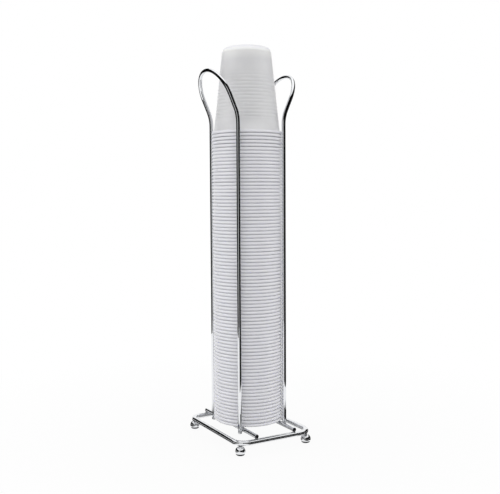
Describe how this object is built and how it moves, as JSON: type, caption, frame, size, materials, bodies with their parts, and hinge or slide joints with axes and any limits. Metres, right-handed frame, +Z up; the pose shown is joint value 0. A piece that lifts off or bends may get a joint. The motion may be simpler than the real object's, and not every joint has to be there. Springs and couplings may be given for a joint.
{
  "type": "cup dispenser",
  "caption": "Chromed wire counter rack on ball feet, with leaning hoops that guide a tall column of upside-down nested drinking cups.",
  "frame": {"origin": "on the floor under the middle of the base frame", "axes": "+Z up along the column of cups; +X across the two hoops, +Y along the cross bars"},
  "size_m": [0.0938, 0.1096, 0.3915],
  "materials": {
    "chrome_wire": "bright polished chrome plate on bent steel wire",
    "cup_plastic": "thin milky translucent plastic with a soft sheen"
  },
  "bodies": {
    "rack": {"base_frame": "chrome_wire", "ball_foot_front_left": "chrome_wire", "ball_foot_front_right": "chrome_wire", "ball_foot_back_left": "chrome_wire", "ball_foot_back_right": "chrome_wire", "cross_bar_left": "chrome_wire", "cross_bar_right": "chrome_wire", "hoop_left": "chrome_wire", "hoop_right": "chrome_wire"},
    "cup_stack": {"cup_bottom": "cup_plastic", "nested_cups_1": "cup_plastic", "nested_cups_2": "cup_plastic", "nested_cups_3": "cup_plastic", "nested_cups_4": "cup_plastic", "nested_cups_5": "cup_plastic", "nested_cups_6": "cup_plastic", "nested_cups_7": "cup_plastic", "nested_cups_8": "cup_plastic"},
    "cup_fifth": {"cup_fifth": "cup_plastic"},
    "cup_fourth": {"cup_fourth": "cup_plastic"},
    "cup_third": {"cup_third": "cup_plastic"},
    "cup_second": {"cup_second": "cup_plastic"},
    "cup_top": {"cup_top": "cup_plastic"}
  },
  "joints": [
    {"name": "stack_lift", "type": "slide", "parent": "rack", "child": "cup_stack", "axis": [0, 0, 1], "range_m": [0, 0.35]},
    {"name": "cup_fifth_lift", "type": "slide", "parent": "cup_stack", "child": "cup_fifth", "axis": [0, 0, 1], "range_m": [0, 0.085]},
    {"name": "cup_fourth_lift", "type": "slide", "parent": "cup_fifth", "child": "cup_fourth", "axis": [0, 0, 1], "range_m": [0, 0.085]},
    {"name": "cup_third_lift", "type": "slide", "parent": "cup_fourth", "child": "cup_third", "axis": [0, 0, 1], "range_m": [0, 0.085]},
    {"name": "cup_second_lift", "type": "slide", "parent": "cup_third", "child": "cup_second", "axis": [0, 0, 1], "range_m": [0, 0.085]},
    {"name": "cup_top_lift", "type": "slide", "parent": "cup_second", "child": "cup_top", "axis": [0, 0, 1], "range_m": [0, 0.085]}
  ]
}
